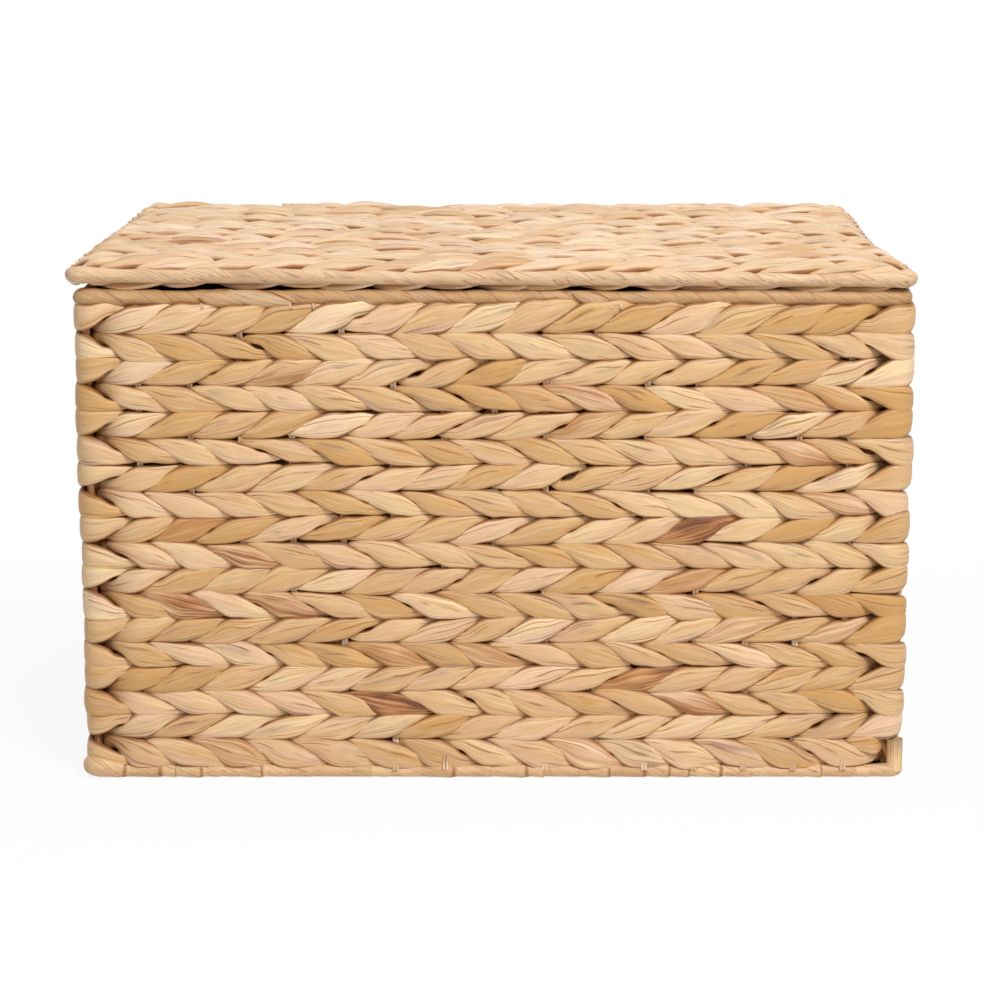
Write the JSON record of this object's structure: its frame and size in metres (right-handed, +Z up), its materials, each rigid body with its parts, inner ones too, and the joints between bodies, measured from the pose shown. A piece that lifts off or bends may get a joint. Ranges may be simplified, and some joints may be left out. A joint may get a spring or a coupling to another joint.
{
  "type": "woven lidded box",
  "caption": "Rectangular storage box twined from dried water hyacinth round cane stakes, with wrapped rims and a flat woven lid that turns on loops along the back.",
  "frame": {"origin": "middle of the footprint, on the surface that the box stands on", "axes": "+X along the width to the right seen from the front, +Y towards the back where the lid's loops are, +Z up"},
  "size_m": [0.5088, 0.3264, 0.3209],
  "materials": {
    "hyacinth": "dry satin plant stalk",
    "rim_strip": "dry satin plant strip",
    "cane": "pale smooth cane"
  },
  "bodies": {
    "box": {"body_frame": "cane", "top_rim_wrap": "rim_strip", "base_rim_wrap": "rim_strip", "base_mat": "hyacinth", "wall_row_01": "hyacinth", "wall_row_02": "hyacinth", "wall_row_03": "hyacinth", "wall_row_04": "hyacinth", "wall_row_05": "hyacinth", "wall_row_06": "hyacinth", "wall_row_07": "hyacinth", "wall_row_08": "hyacinth", "wall_row_09": "hyacinth", "wall_row_10": "hyacinth", "wall_row_11": "hyacinth", "wall_row_12": "hyacinth", "wall_row_13": "hyacinth", "wall_row_14": "hyacinth", "wall_row_15": "hyacinth", "wall_row_16": "hyacinth", "wall_row_17": "hyacinth", "wall_row_18": "hyacinth"},
    "lid": {"lid_frame": "cane", "lid_rim_wrap": "rim_strip", "lid_row_01": "hyacinth", "lid_row_02": "hyacinth", "lid_row_03": "hyacinth", "lid_row_04": "hyacinth", "lid_row_05": "hyacinth", "lid_row_06": "hyacinth", "lid_row_07": "hyacinth", "lid_row_08": "hyacinth", "lid_row_09": "hyacinth", "lid_row_10": "hyacinth", "lid_row_11": "hyacinth", "lid_row_12": "hyacinth", "lid_row_13": "hyacinth", "lid_row_14": "hyacinth", "lid_row_15": "hyacinth", "lid_row_16": "hyacinth", "lid_row_17": "hyacinth", "lid_row_18": "hyacinth", "lid_row_19": "hyacinth", "hinge_loop_left": "rim_strip", "hinge_loop_right": "rim_strip"}
  },
  "joints": [
    {"name": "lid_hinge", "type": "hinge", "parent": "box", "child": "lid", "pos_m": [0, 0.15375, 0.2998], "axis": [-1, 0, 0], "range_deg": [0, 95]}
  ]
}
